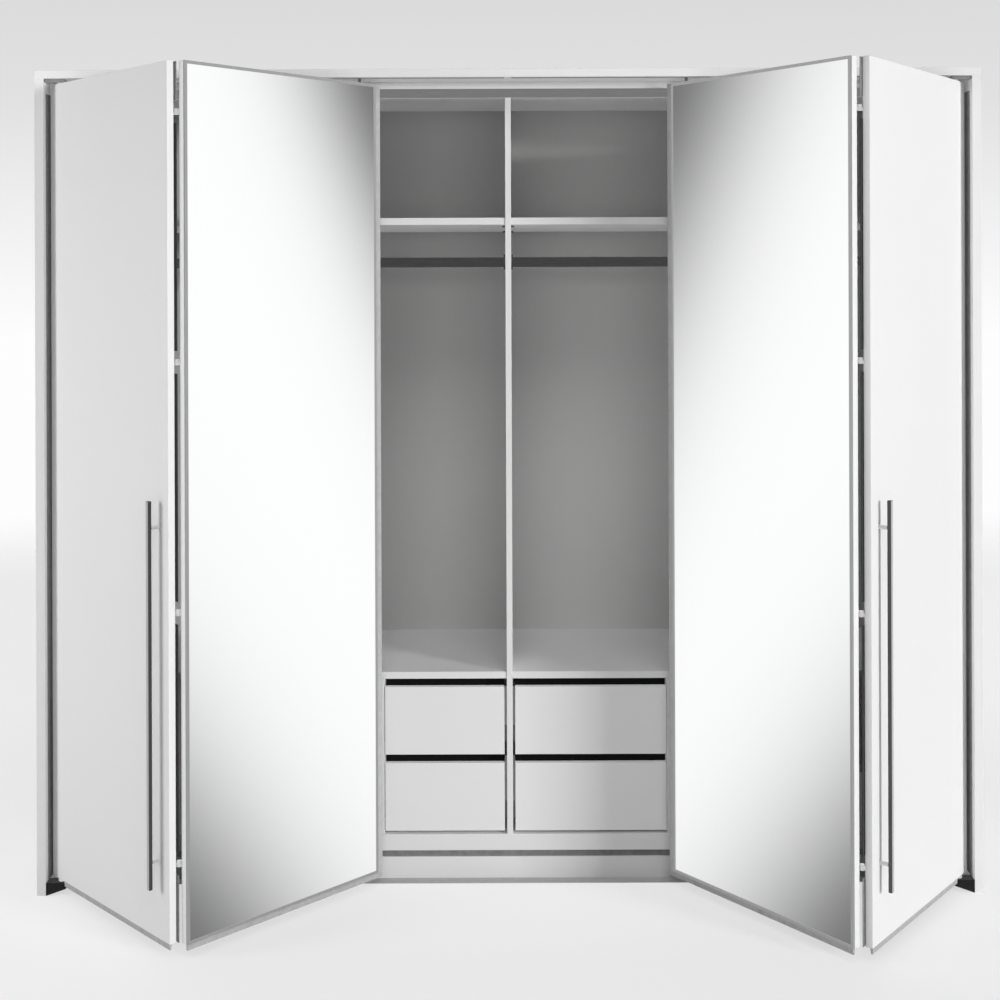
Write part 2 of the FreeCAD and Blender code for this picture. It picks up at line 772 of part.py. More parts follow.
def check(pieces):
    """Stops on a failed object, or on a node whose shape is missing or not valid."""
    doc.recompute()
    failed = [thing.Name for thing in doc.Objects if {"Invalid", "Error"} & set(thing.State)]
    for piece in pieces:
        if piece.Shape.isNull() or not piece.Shape.isValid() or not piece.Shape.Solids:
            failed.append(piece.Label)
    if failed:
        raise RuntimeError("failed: " + ", ".join(failed))


build_surround()
build_carcass()
build_clothes_rails()
build_door_hardware()
for door_side in SIDES:
    build_outer_leaf(door_side)
    build_inner_leaf(door_side)
build_drawers()
build_wall_brackets()
check(nodes)

os.makedirs("parts", exist_ok=True)
for piece in nodes:
    piece.Shape.exportStep(f"parts/{piece.Label}.step")
print(len(nodes), "nodes")
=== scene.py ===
# %% [markdown]
# # A two-bay wardrobe with bi-fold mirror doors
#
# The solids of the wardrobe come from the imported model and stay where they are. This lesson gives
# each of them its finish, adds the small fittings that a cabinet maker would see, and sets up the
# white studio in which the wardrobe stands with both pairs of doors half open.

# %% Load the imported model
import json
import math

import bmesh
import bpy
from mathutils import Matrix, Vector


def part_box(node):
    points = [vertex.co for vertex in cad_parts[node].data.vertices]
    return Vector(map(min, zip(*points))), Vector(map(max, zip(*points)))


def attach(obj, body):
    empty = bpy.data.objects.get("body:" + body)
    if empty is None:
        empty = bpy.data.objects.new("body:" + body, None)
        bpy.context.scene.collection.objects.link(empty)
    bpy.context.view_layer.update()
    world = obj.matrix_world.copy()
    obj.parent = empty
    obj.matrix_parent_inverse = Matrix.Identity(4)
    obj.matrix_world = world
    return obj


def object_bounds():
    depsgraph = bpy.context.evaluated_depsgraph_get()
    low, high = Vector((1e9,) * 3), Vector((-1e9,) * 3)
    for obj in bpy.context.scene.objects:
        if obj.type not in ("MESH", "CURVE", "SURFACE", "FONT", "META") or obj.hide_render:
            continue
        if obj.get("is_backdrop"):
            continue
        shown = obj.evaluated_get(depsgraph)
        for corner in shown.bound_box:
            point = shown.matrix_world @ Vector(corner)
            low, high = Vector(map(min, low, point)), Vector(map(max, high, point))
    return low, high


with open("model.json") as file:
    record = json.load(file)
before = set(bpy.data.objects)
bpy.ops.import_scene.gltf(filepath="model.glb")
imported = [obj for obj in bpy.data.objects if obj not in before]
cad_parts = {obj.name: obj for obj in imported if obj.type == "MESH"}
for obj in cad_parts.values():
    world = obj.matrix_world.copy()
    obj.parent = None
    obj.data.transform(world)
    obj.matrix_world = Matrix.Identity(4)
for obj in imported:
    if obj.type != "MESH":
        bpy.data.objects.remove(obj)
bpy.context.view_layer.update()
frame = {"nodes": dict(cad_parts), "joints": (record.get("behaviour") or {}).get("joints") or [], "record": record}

NODES = frame["nodes"]
SLOT_OF = {row["node"]: row["material_slot"] for row in frame["record"]["subparts"]}
SIDES = ("left", "right")

# %% [markdown]
# ## The camera
#
# All upright edges of the wardrobe are parallel in the photograph, so the camera looks level, and
# the picture is shifted down instead of the camera being tilted. The left doors hang a little lower
# in the picture than the right ones, so the camera is rolled by a fifth of a degree. The position and
# the focal length come from the sizes of the doors and the carcass in the picture.

# %% Camera
# The picture, its focal length and its principal point in pixels, the sensor in millimetres
PICTURE = 1000.0
FOCAL_PIXELS = 1503.0
PRINCIPAL = (508.3, 289.0)
SENSOR = 36.0
CAMERA_ROLL = 0.2
CAMERA_AT = Vector((0.0, -4.275, 1.598))

camera_data = bpy.data.cameras.new("camera")
camera_data.sensor_width = SENSOR
camera_data.lens = SENSOR * FOCAL_PIXELS / PICTURE
camera_data.shift_x = (PICTURE / 2 - PRINCIPAL[0]) / PICTURE
camera_data.shift_y = (PRINCIPAL[1] - PICTURE / 2) / PICTURE
camera = bpy.data.objects.new("camera", camera_data)
camera.location = CAMERA_AT
camera.rotation_euler = (math.radians(90), math.radians(CAMERA_ROLL), 0)
bpy.context.scene.collection.objects.link(camera)
bpy.context.scene.camera = camera
bpy.context.scene.view_settings.view_transform = "Standard"
shift = (camera_data.shift_x, camera_data.shift_y)
print("lens", round(camera_data.lens, 2), "shift", [round(part, 4) for part in shift])

# %% [markdown]
# ## Helpers for finishes
#
# A finish is a Principled shader whose colour, roughness and bump come from noise in the piece's
# own coordinates. The pieces are in metres, so a noise scale of 500 makes spots of about 2 mm.
# Stretching the coordinates along one axis turns spots into grain or brush lines.


# %% Node helpers
def new_finish(name):
    """Material with a Principled shader, and its node tree."""
    finish = bpy.data.materials.new(name)
    finish.use_nodes = True
    return finish, finish.node_tree, finish.node_tree.nodes["Principled BSDF"]


def feed(tree, socket, value):
    """Links an input to another socket, or sets its value."""
    if isinstance(value, bpy.types.NodeSocket):
        tree.links.new(value, socket)
    else:
        socket.default_value = value


def add(tree, kind, settings=(), **inputs):
    """Node of a kind, with its settings and the values or links of its inputs by name."""
    node = tree.nodes.new(kind)
    for name, value in dict(settings).items():
        setattr(node, name, value)
    for name, value in inputs.items():
        feed(tree, node.inputs[name.replace("_", " ")], value)
    return node


def reckon(tree, operation, *values):
    """Socket with the result of one step of arithmetic."""
    node = add(tree, "ShaderNodeMath", {"operation": operation})
    for socket, value in zip(node.inputs, values):
        feed(tree, socket, value)
    return node.outputs[0]


def noise(tree, scale, stretch=(1, 1, 1), detail=3.0):
    """Noise from 0 to 1 in the piece's own coordinates, drawn out along an axis by a small stretch."""
    place = add(tree, "ShaderNodeTexCoord").outputs["Object"]
    drawn = add(tree, "ShaderNodeMapping", Vector=place, Scale=stretch).outputs["Vector"]
    return add(tree, "ShaderNodeTexNoise", Vector=drawn, Scale=scale, Detail=detail).outputs["Fac"]


def spread(tree, value, low=0.0, high=1.0):
    """Maps the middle of a noise onto a range of numbers."""
    node = add(tree, "ShaderNodeMapRange", Value=value, From_Min=0.3, From_Max=0.7, To_Min=low, To_Max=high)
    return node.outputs["Result"]


def grey(shade):
    """Neutral colour of a shade."""
    return (shade, shade, shade)


def tint(tree, value, dark, light):
    """Mixes two colours by a value from 0 to 1. A colour is three numbers or a socket."""
    node = add(tree, "ShaderNodeMix", {"data_type": "RGBA"})
    tree.links.new(value, node.inputs["Factor"])
    for socket, colour in ((node.inputs[6], dark), (node.inputs[7], light)):
        feed(tree, socket, colour if isinstance(colour, bpy.types.NodeSocket) else (*colour, 1))
    return node.outputs[2]


def relief(tree, shader, height, depth, strength):
    """Fine bumps of a depth in metres on the shader's normal."""
    bump = add(tree, "ShaderNodeBump", Height=height, Distance=depth, Strength=strength)
    tree.links.new(bump.outputs["Normal"], shader.inputs["Normal"])


# %% [markdown]
# ## Board finishes
#
# The doors, side panels and top boards are lacquered: smooth, with the faint orange peel of a
# sprayed coat. The inner boards are faced with melamine, which is duller and finely pored. The back
# panels have a printed decor with a slight cloudiness and a vertical grain. All three are painted or
# pressed faces on the same kind of board, so one helper makes them from different numbers.

# %% White lacquer, melamine and decor
CLOUD_SCALE = 2.2
SHEEN_SCALE = 9.0
PORE_STRENGTH = 0.1
UPRIGHT_GRAIN = (4, 4, 0.2)


def board_finish(name, dark, light, pores, gloss, depth, specular, stretch=(1, 1, 1)):
    """Painted or faced board: two close shades, a range of roughness and fine pores."""
    finish, tree, shader = new_finish(name)
    cloud = spread(tree, noise(tree, CLOUD_SCALE))
    tree.links.new(tint(tree, cloud, dark, light), shader.inputs["Base Color"])
    tree.links.new(spread(tree, noise(tree, SHEEN_SCALE), *gloss), shader.inputs["Roughness"])
    relief(tree, shader, noise(tree, pores, stretch), depth, PORE_STRENGTH)
    shader.inputs["Specular IOR Level"].default_value = specular
    return finish


FINISHES = {
    "white_lacquer": board_finish(
        "white_lacquer", grey(0.795), grey(0.805), pores=90, gloss=(0.36, 0.4), depth=0.00004, specular=0.3
    ),
    "white_melamine": board_finish(
        "white_melamine", grey(0.77), grey(0.785), pores=200, gloss=(0.5, 0.56), depth=0.00005, specular=0.1
    ),
    "grey_decor": board_finish(
        "grey_decor",
        (0.79, 0.79, 0.785),
        (0.81, 0.81, 0.805),
        pores=90,
        gloss=(0.55, 0.62),
        depth=0.0001,
        specular=0.15,
        stretch=UPRIGHT_GRAIN,
    ),
}
print("board finishes:", sorted(FINISHES))

# %% [markdown]
# ## Metal and plastic finishes
#
# Drawn or brushed metal has fine lines along its length. The lines are noise that is stretched
# along one axis, and they change both the colour and the bump. The rails run along X and the mirror
# frames and handles along Z, so each direction gets a finish of its own.

# %% Brushed metals
ALONG = {"x": (0.02, 1, 1), "z": (1, 1, 0.02)}
LINE_SCALE = 900
LINE_DETAIL = 2.0
LINE_DEPTH = 0.0001
LINE_STRENGTH = 0.1
SMEAR_SCALE = 500


def brush_lines(tree, axis):
    """Fine lines along an axis, as a value from 0 to 1."""
    return spread(tree, noise(tree, LINE_SCALE, ALONG[axis], LINE_DETAIL))


def brushed(name, axis, dark, light, gloss):
    """Metal with brush lines along an axis."""
    finish, tree, shader = new_finish(name)
    lines = brush_lines(tree, axis)
    tree.links.new(tint(tree, lines, dark, light), shader.inputs["Base Color"])
    shader.inputs["Metallic"].default_value = 1.0
    smear = noise(tree, SMEAR_SCALE, ALONG[axis])
    tree.links.new(spread(tree, smear, *gloss), shader.inputs["Roughness"])
    relief(tree, shader, lines, LINE_DEPTH, LINE_STRENGTH)
    return finish


# Much darker than bare aluminium: this colour is painted shade, for the rail in the shade of the top boards
FINISHES["aluminium"] = brushed(
    "shaded_aluminium_along_x", "x", (0.18, 0.18, 0.183), (0.22, 0.22, 0.223), (0.35, 0.45)
)
FINISHES["dark_metal"] = brushed(
    "dark_rail", "x", (0.045, 0.045, 0.047), (0.065, 0.065, 0.067), (0.25, 0.35)
)
TRIM_METAL = brushed("mirror_trim", "z", grey(0.42), grey(0.5), (0.3, 0.4))
print("brushed metals: aluminium, dark rail and mirror trim")

# %% [markdown]
# The small fittings are plated, cast, painted or moulded, and show at most a fine grain. Each could
# have a shader of its own, but one helper is enough: two close shades, an uneven gloss and a fine
# bump. Pile and bristles are soft on the real wardrobe, and a high roughness with almost no gloss
# gives that look.

# %% Plated steel, plastics, paint and seals
SHADE_SCALE = 60
GLOSS_SCALE = 150
GRAIN_DEPTH = 0.0001
GRAIN_STRENGTH = 0.15


def plain_finish(name, dark, light, metallic, gloss, grain, specular=0.5):
    """Small fittings: two close shades, slightly uneven gloss and a fine moulded or cast grain."""
    finish, tree, shader = new_finish(name)
    shade = spread(tree, noise(tree, SHADE_SCALE))
    tree.links.new(tint(tree, shade, dark, light), shader.inputs["Base Color"])
    tree.links.new(spread(tree, noise(tree, GLOSS_SCALE), *gloss), shader.inputs["Roughness"])
    shader.inputs["Metallic"].default_value = metallic
    shader.inputs["Specular IOR Level"].default_value = specular
    relief(tree, shader, noise(tree, grain), GRAIN_DEPTH, GRAIN_STRENGTH)
    return finish


FINISHES["steel"] = plain_finish("plated_steel", grey(0.6), grey(0.68), 1.0, (0.2, 0.3), 700)
FINISHES["black_plastic"] = plain_finish(
    "black_plastic", grey(0.012), grey(0.018), 0.0, (0.5, 0.6), 900, 0.1
)
# Near black with almost no gloss: the grip profiles, whose black also paints the shade deep in each grip gap
FINISHES["black_grip"] = plain_finish("black_grip", grey(0.006), grey(0.009), 0.0, (0.5, 0.6), 900, 0.05)
FINISHES["nylon"] = plain_finish("nylon", (0.2, 0.2, 0.195), (0.26, 0.26, 0.25), 0.0, (0.4, 0.5), 600)
SILVER_PAINT = plain_finish("silver_paint", grey(0.44), grey(0.5), 0.0, (0.45, 0.55), 600, 0.2)
DARK_STEEL = plain_finish("dark_steel", grey(0.09), grey(0.13), 0.6, (0.4, 0.5), 700)
CAST_GREY = plain_finish("cast_grey", grey(0.2), grey(0.26), 0.0, (0.45, 0.55), 700, 0.2)
# Near black, painted shade for the gap at the fold between the leaves
FOLD_GAP_SHADE = plain_finish("fold_gap_shade_rubber", grey(0.03), grey(0.045), 0.0, (0.6, 0.7), 900, 0.1)
# Grey of the pile strips beside the doors, painted shade for the dark gap there
PANEL_GAP_SHADE = plain_finish("panel_gap_shade_pile", grey(0.26), grey(0.32), 0.0, (0.7, 0.8), 1500, 0.05)
BRUSH_GREY = plain_finish("brush_grey", grey(0.4), grey(0.47), 0.0, (0.7, 0.8), 1500, 0.05)
print("finishes by slot:", sorted(FINISHES))

# %% [markdown]
# ## Mirror glass
#
# The inner leaves carry silvered float glass. Its face is a mirror, and its cut edges show the
# grey-green of the glass. Two materials on one solid would need its faces sorted by hand, so the face
# is told from the edges by the surface's own direction: a leaf stands at a known angle, and its face
# looks along one known direction.

# %% Mirror glass
REST_ANGLE = {"left": math.radians(46.7), "right": math.radians(52.3)}
TOWARDS_MIDDLE = {"left": 1, "right": -1}
LEAF_TURN = {"outer": -1, "inner": 1}
# Least cosine between a surface and the direction of the face that it belongs to
FACE_LIMIT = 0.9
GLASS_EDGE = (0.3, 0.34, 0.33)
SILVERING = (0.985, 0.99, 0.99)
EDGE_METALLIC = 0.3
HAZE_SCALE = 4.0
HAZE = (0.02, 0.035)


def face_direction(side, leaf="inner"):
    """Direction in which the front of a leaf looks at rest."""
    angle = REST_ANGLE[side]
    return Vector((LEAF_TURN[leaf] * TOWARDS_MIDDLE[side] * math.sin(angle), -math.cos(angle), 0))


def measured_along(tree, vector, direction):
    """Socket with the part of a vector that lies along a direction."""
    node = add(tree, "ShaderNodeVectorMath", {"operation": "DOT_PRODUCT"})
    tree.links.new(vector, node.inputs[0])
    node.inputs[1].default_value = direction
    return node.outputs["Value"]


def on_face(tree, direction):
    """Socket that is 1 where the surface looks along a direction, and 0 elsewhere."""
    normal = add(tree, "ShaderNodeTexCoord").outputs["Normal"]
    return reckon(tree, "GREATER_THAN", measured_along(tree, normal, direction), FACE_LIMIT)


def mirror_glass(side):
    """Silvered glass with a mirror face and grey-green edges."""
    finish, tree, shader = new_finish(f"mirror_glass_{side}")
    face = on_face(tree, face_direction(side))
    tree.links.new(tint(tree, face, GLASS_EDGE, SILVERING), shader.inputs["Base Color"])
    silvered = reckon(tree, "MULTIPLY_ADD", face, 1 - EDGE_METALLIC, EDGE_METALLIC)
    tree.links.new(silvered, shader.inputs["Metallic"])
    tree.links.new(spread(tree, noise(tree, HAZE_SCALE), *HAZE), shader.inputs["Roughness"])
    return finish


GLASS = {side: mirror_glass(side) for side in SIDES}
print("mirrors look along", [[round(x, 2) for x in face_direction(side)] for side in SIDES])

# %% [markdown]
# Handles: each one is a flat bar on two posts. Its front carries a painted highlight and its flanks
# painted shade, and they are told apart by direction, as the mirror's face is. The posts are bright all
# round. They are told from the bar by how far they stand out from the leaf.

# %% Handles
JOINT_AT = {row["name"]: Vector(row["pos_m"]) for row in frame["joints"] if row["type"] == "hinge"}
POST_REACH = 0.0305
# Painted shade for the flanks and a painted highlight for the front of the same metal
HANDLE_SHADED_FLANKS = (grey(0.07), grey(0.1))
HANDLE_LIT_FRONT = (grey(0.5), grey(0.62))
HANDLE_GLOSS = (0.3, 0.4)


def handle_metal(side):
    """Brushed bar with painted shade on its flanks and a painted highlight on its front, on bright posts."""
    finish = brushed(f"handle_metal_{side}", "z", *HANDLE_SHADED_FLANKS, HANDLE_GLOSS)
    tree = finish.node_tree
    base = tree.nodes["Principled BSDF"].inputs["Base Color"]
    shaded_flank = base.links[0].from_socket
    lit_front = tint(tree, brush_lines(tree, "z"), *HANDLE_LIT_FRONT)
    front = face_direction(side, "outer")
    place = add(tree, "ShaderNodeTexCoord").outputs["Object"]
    post_end = JOINT_AT[f"{side}_door_pivot"].dot(front) + POST_REACH
    post = reckon(tree, "LESS_THAN", measured_along(tree, place, front), post_end)
    posts_and_lit_front = reckon(tree, "MAXIMUM", on_face(tree, front), post)
    tree.links.new(tint(tree, posts_and_lit_front, shaded_flank, lit_front), base)
    return finish


HANDLE_METAL = {side: handle_metal(side) for side in SIDES}
print("handles:", [finish.name for finish in HANDLE_METAL.values()])

# %% [markdown]
# ## Dressing the nodes
#
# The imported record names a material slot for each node, so most nodes take the finish of their
# slot. The glass, the handles and a few fittings with a coat of their own are named one by one. The
# mirrors show the empty studio and not the furniture, so the pieces are kept out of reflections.

# %% Give each node its finish
SPECIAL = {
    "top_pivot_brackets": CAST_GREY,
    "shelf_supports": CAST_GREY,
    "drawer_runner_rails": DARK_STEEL,
}
for side in SIDES:
    SPECIAL[f"{side}_mirror"] = GLASS[side]
    SPECIAL[f"{side}_edge_profile"] = SILVER_PAINT
    SPECIAL[f"{side}_handle"] = HANDLE_METAL[side]
    SPECIAL[f"{side}_guide_pin"] = DARK_STEEL

for name, piece in NODES.items():
    finish = SPECIAL.get(name) or FINISHES[SLOT_OF[name]]
    piece.data.materials.clear()
    piece.data.materials.append(finish)
    piece.visible_glossy = False
print("dressed:", len(NODES), "nodes,", len(SPECIAL), "of them with a coat of their own")

# %% [markdown]
# ## Seals and trims
#
# The thin parts are drawn bars: a small section is pulled along a line, as a maker draws or extrudes
# them. The trim of a leaf is drawn as if the door was closed, with X towards the middle of the
# wardrobe and -Y to the front, and then turned into its place about the leaf's pin. The right leaves
# are mirrored, so the normals are worked out again at the end.

# %% Helpers for fittings
LEAF_REACH = 0.561
LEAF_HALF = 0.009
LEAF_LOW = 0.042
SHARP_ANGLE = 0.5
# Takes a section's (x, y) to (y, z), and its length to x
ALONG_X = Matrix(((0, 0, 1, 0), (1, 0, 0, 0), (0, 1, 0, 0), (0, 0, 0, 1)))


def leaf_place(side, leaf):
    """Matrix from a leaf's closed drawing, with its pin at the origin, to its place at rest."""
    pin = JOINT_AT[f"{side}_door_pivot" if leaf == "outer" else f"{side}_roller_spin"]
    turn = LEAF_TURN[leaf] * TOWARDS_MIDDLE[side] * REST_ANGLE[side]
    mirror = Matrix.Scale(TOWARDS_MIDDLE[side], 4, (1, 0, 0))
    return Matrix.Translation((pin.x, pin.y, 0)) @ Matrix.Rotation(turn, 4, "Z") @ mirror


def new_corners(grown):
    """Vertices among the new geometry of an operator."""
    return [part for part in grown["geom"] if isinstance(part, bmesh.types.BMVert)]


def ease(mesh, offset):
    """Bevels the sharp edges of a mesh."""
    sharp = [edge for edge in mesh.edges if edge.calc_face_angle(0) > SHARP_ANGLE]
    bmesh.ops.bevel(
        mesh,
        geom=sharp,
        offset=offset,
        offset_type="OFFSET",
        affect="EDGES",
        segments=1,
        profile=0.5,
        material=-1,
    )


def drawn_bar(mesh, section, start, end, place):
    """Bar with a section of (x, y) corners, drawn from one height to another and then put in its place."""
    face = mesh.faces.new([mesh.verts.new((x, y, start)) for x, y in section])
    first = list(face.verts)
    last = new_corners(bmesh.ops.extrude_face_region(mesh, geom=[face]))
    bmesh.ops.translate(mesh, vec=(0, 0, end - start), verts=last)
    bmesh.ops.transform(mesh, matrix=place, verts=first + last)


def mesh_object(name, mesh, finish):
    """Object at the origin from a bmesh, with one finish, kept out of reflections."""
    data = bpy.data.meshes.new(name)
    mesh.to_mesh(data)
    mesh.free()
    data.materials.append(finish)
    piece = bpy.data.objects.new(name, data)
    piece.visible_glossy = False
    bpy.context.scene.collection.objects.link(piece)
    return piece


def fitting(name, mesh, finish, body):
    """Finished piece from a mesh: normals outwards, riding on its body."""
    bmesh.ops.recalc_face_normals(mesh, faces=mesh.faces)
    piece = mesh_object(name, mesh, finish)
    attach(piece, body)
    print(name, "on", body, "faces:", len(piece.data.polygons))


# %% [markdown]
# Dust seals: a flat strip of pile on the inner face of each side panel closes the gap beside the door,
# and its grey is painted shade for the dark of that gap.
# It is only 1.6 mm thick, because the corner of the leaf swings past it at less than 3 mm. A flat
# silver lip lies on the floor at the foot of the plinth as a painted shadow on the floor, and a grey
# strip in the gap above the plinth is painted shade for that gap. All of them are the same along their
# whole length, so they are drawn bars.

# %% Dust seals
PANEL_FACE = 1.226
PANEL_SEAL = (
    (0, -0.288),
    (0.0009, -0.288),
    (0.0009, -0.28),
    (0.0016, -0.278),
    (0.0016, -0.254),
    (0.0009, -0.252),
    (0.0009, -0.244),
    (0, -0.244),
)
PANEL_SEAL_HEIGHTS = (0.036, 2.12)
PLINTH_FACE = -0.2005
PLINTH_SHADOW_LIP = ((0, 0.0005), (-0.033, 0.0005), (-0.0325, 0.0015), (-0.004, 0.0022), (0, 0.0025))
SHADE_STRIP_DEPTHS = (0.004, 0.008)

for side in SIDES:
    seal = bmesh.new()
    inwards = Matrix.Translation((-TOWARDS_MIDDLE[side] * PANEL_FACE, 0, 0))
    mirrored = Matrix.Scale(TOWARDS_MIDDLE[side], 4, (1, 0, 0))
    drawn_bar(seal, PANEL_SEAL, *PANEL_SEAL_HEIGHTS, inwards @ mirrored)
    fitting(f"{side}_panel_seal", seal, PANEL_GAP_SHADE, "carcass")

# The silver lip paints the floor's shadow at the foot of the plinth
along_plinth = Matrix.Translation((0, PLINTH_FACE, 0)) @ ALONG_X
seal = bmesh.new()
drawn_bar(seal, PLINTH_SHADOW_LIP, -PANEL_FACE, PANEL_FACE, along_plinth)
fitting("plinth_shadow_lip", seal, SILVER_PAINT, "carcass")

# The grey strip paints the shade in the gap between the plinth and the base panel
gap_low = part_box("plinth_front")[1].z
gap_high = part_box("base_panel")[0].z
shade_strip_section = [(depth, gap_low) for depth in SHADE_STRIP_DEPTHS]
shade_strip_section += [(depth, gap_high) for depth in reversed(SHADE_STRIP_DEPTHS)]
strip = bmesh.new()
drawn_bar(strip, shade_strip_section, -PANEL_FACE, PANEL_FACE, along_plinth)
fitting("plinth_gap_shade_strip", strip, CAST_GREY, "carcass")

# %% [markdown]
# Fold seals: behind the outer leaf's edge a lip covers the gap between the two leaves, and its black is
# painted shade for the dark of that gap. It stops short of each hinge, so it is drawn in three lengths,
# and its two ends are grey, a painted lighter tone of the gap near the top and the bottom. The lip lies
# behind the back of the inner leaf, which turns clear of it when the doors fold.

# %% Fold seals
HINGE_HEIGHTS = (0.23, 0.828, 1.426, 2.024)
HINGE_ROOM = 0.027
SEAL_ENDS = (0.043, 2.144)
LIP_FOOT = (-0.014, -0.005)
LIP_TIP = 0.007
LIP_DEPTHS = (0.0117, 0.0132)

lip_section = (
    (LEAF_REACH + LIP_FOOT[0], LEAF_HALF),
    (LEAF_REACH + LIP_FOOT[1], LEAF_HALF),
    (LEAF_REACH + LIP_FOOT[1], LIP_DEPTHS[0]),
    (LEAF_REACH + LIP_TIP, LIP_DEPTHS[0]),
    (LEAF_REACH + LIP_TIP, LIP_DEPTHS[1]),
    (LEAF_REACH + LIP_FOOT[0], LIP_DEPTHS[1]),
)
for side in SIDES:
    place = leaf_place(side, "outer")
    seal = bmesh.new()
    for below, above in zip(HINGE_HEIGHTS, HINGE_HEIGHTS[1:]):
        drawn_bar(seal, lip_section, below + HINGE_ROOM, above - HINGE_ROOM, place)
    fitting(f"{side}_fold_seal", seal, FOLD_GAP_SHADE, f"{side}_outer_leaf")
    # The grey ends paint the lighter tone of the fold gap near the top and the bottom
    ends = bmesh.new()
    drawn_bar(ends, lip_section, SEAL_ENDS[0], HINGE_HEIGHTS[0] - HINGE_ROOM, place)
    drawn_bar(ends, lip_section, HINGE_HEIGHTS[-1] + HINGE_ROOM, SEAL_ENDS[1], place)
    fitting(f"{side}_fold_seal_ends", ends, CAST_GREY, f"{side}_outer_leaf")

# %% [markdown]
# Leaf trims: a grey strip hangs below each leaf and stops 28 mm above the floor, and a slim frame holds
# each mirror. The strip is drawn as a brush, a bar that tapers to its tip, because single bristles are
# too fine to be seen. The frame starts as one face of the mirror's size. An inset makes the rim, the
# middle is taken out, and the rim is pulled out to its thickness.

# %% Floor brushes and mirror frames
BRUSH_SPAN = {"outer": (0.028, 0.559), "inner": (-0.559, 0.058)}
BRUSH_DEPTHS = {"outer": (-0.0088, -0.002), "inner": (-0.0128, -0.006)}
BRUSH_HOLDER = 0.037
BRUSH_TIP = 0.028
# How far the bristles stand in from the holder, at their root and at their tip
BRISTLE_ROOT = 0.0006
BRISTLE_TIP = 0.0014
MIRROR_SPAN = (-0.561, 0.045)
MIRROR_FRONT = -0.013
FRAME_RIM = 0.008
FRAME_THICK = 0.0012
FRAME_EASE = 0.0003


def mirror_frame(side):
    """Slim frame on the face of a mirror."""
    low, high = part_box(f"{side}_mirror")
    mesh = bmesh.new()
    bmesh.ops.create_grid(mesh, x_segments=1, y_segments=1, size=0.5)
    bmesh.ops.scale(mesh, vec=(MIRROR_SPAN[1] - MIRROR_SPAN[0], high.z - low.z, 1), verts=mesh.verts)
    middle = mesh.faces[:]
    bmesh.ops.inset_region(mesh, faces=middle, thickness=FRAME_RIM, use_boundary=True, use_even_offset=True)
    bmesh.ops.delete(mesh, geom=middle, context="FACES")
    grown = new_corners(bmesh.ops.extrude_face_region(mesh, geom=mesh.faces[:]))
    bmesh.ops.translate(mesh, vec=(0, 0, FRAME_THICK), verts=grown)
    ease(mesh, FRAME_EASE)
    centre = Matrix.Translation((sum(MIRROR_SPAN) / 2, MIRROR_FRONT, (low.z + high.z) / 2))
    upright = Matrix.Rotation(math.radians(90), 4, "X")
    bmesh.ops.transform(mesh, matrix=leaf_place(side, "inner") @ centre @ upright, verts=mesh.verts)
    return mesh


def floor_brush(side, leaf):
    """Brush below a leaf: a holder under the leaf and bristles that taper to the tip."""
    front, back = BRUSH_DEPTHS[leaf]
    section = (
        (front, LEAF_LOW),
        (front, BRUSH_HOLDER),
        (front + BRISTLE_ROOT, BRUSH_HOLDER),
        (front + BRISTLE_TIP, BRUSH_TIP),
        (back - BRISTLE_TIP, BRUSH_TIP),
        (back - BRISTLE_ROOT, BRUSH_HOLDER),
        (back, BRUSH_HOLDER),
        (back, LEAF_LOW),
    )
    mesh = bmesh.new()
    drawn_bar(mesh, section, *BRUSH_SPAN[leaf], leaf_place(side, leaf) @ ALONG_X)
    return mesh


for side in SIDES:
    for leaf in ("outer", "inner"):
        body = f"{side}_{leaf}_leaf"
        fitting(f"{side}_{leaf}_brush", floor_brush(side, leaf), BRUSH_GREY, body)
    fitting(f"{side}_mirror_frame", mirror_frame(side), TRIM_METAL, f"{side}_inner_leaf")

# %% [markdown]
# ## Screws, nails and the back seam
#
# Every hinge plate, rail flange and wall bracket is held by screws. A head is a low cone whose top is
# inset twice, the second time downwards, which leaves a round drive. A cut cross would be sharper, but
# at this size a round drive looks the same and needs fewer faces.

# %% Hinge screws
SCREW_RADIUS = 0.0034
SCREW_TALL = 0.0011
# Shares of the radius, and of the height for the depth of the drive
SCREW_TOP = 0.75
SCREW_RING = 0.3
DRIVE_SLOPE = 0.08
DRIVE_DEPTH = 0.6
PLATE_TOP = 0.0115
PLATE_SCREWS = ((0.013, -0.013), (0.013, 0.013), (0.027, 0.0))
BACKWARDS = Matrix.Rotation(math.radians(-90), 4, "X")


def screw_head(mesh, place):
    """Low head with a round drive, on a surface that looks along the place's Z axis."""
    made = bmesh.ops.create_cone(
        mesh,
        cap_ends=True,
        segments=12,
        radius1=SCREW_RADIUS,
        radius2=SCREW_RADIUS * SCREW_TOP,
        depth=SCREW_TALL,
        matrix=place @ Matrix.Translation((0, 0, SCREW_TALL / 2)),
    )
    faces = {face for corner in made["verts"] for face in corner.link_faces}
    back = place.inverted()
    top = max(faces, key=lambda face: (back @ face.calc_center_median()).z)
    bmesh.ops.inset_individual(mesh, faces=[top], thickness=SCREW_RADIUS * SCREW_RING)
    bmesh.ops.inset_individual(
        mesh, faces=[top], thickness=SCREW_RADIUS * DRIVE_SLOPE, depth=-SCREW_TALL * DRIVE_DEPTH
    )


for side in SIDES:
    for leaf in ("outer", "inner"):
        screws = bmesh.new()
        for height in HINGE_HEIGHTS:
            for run, rise in PLATE_SCREWS:
                reach = -LEAF_TURN[leaf] * (LEAF_REACH - run)
                seat = Matrix.Translation((reach, PLATE_TOP, height + rise))
                screw_head(screws, leaf_place(side, leaf) @ seat @ BACKWARDS)
        fitting(f"{side}_{leaf}_hinge_screws", screws, FINISHES["steel"], f"{side}_{leaf}_leaf")

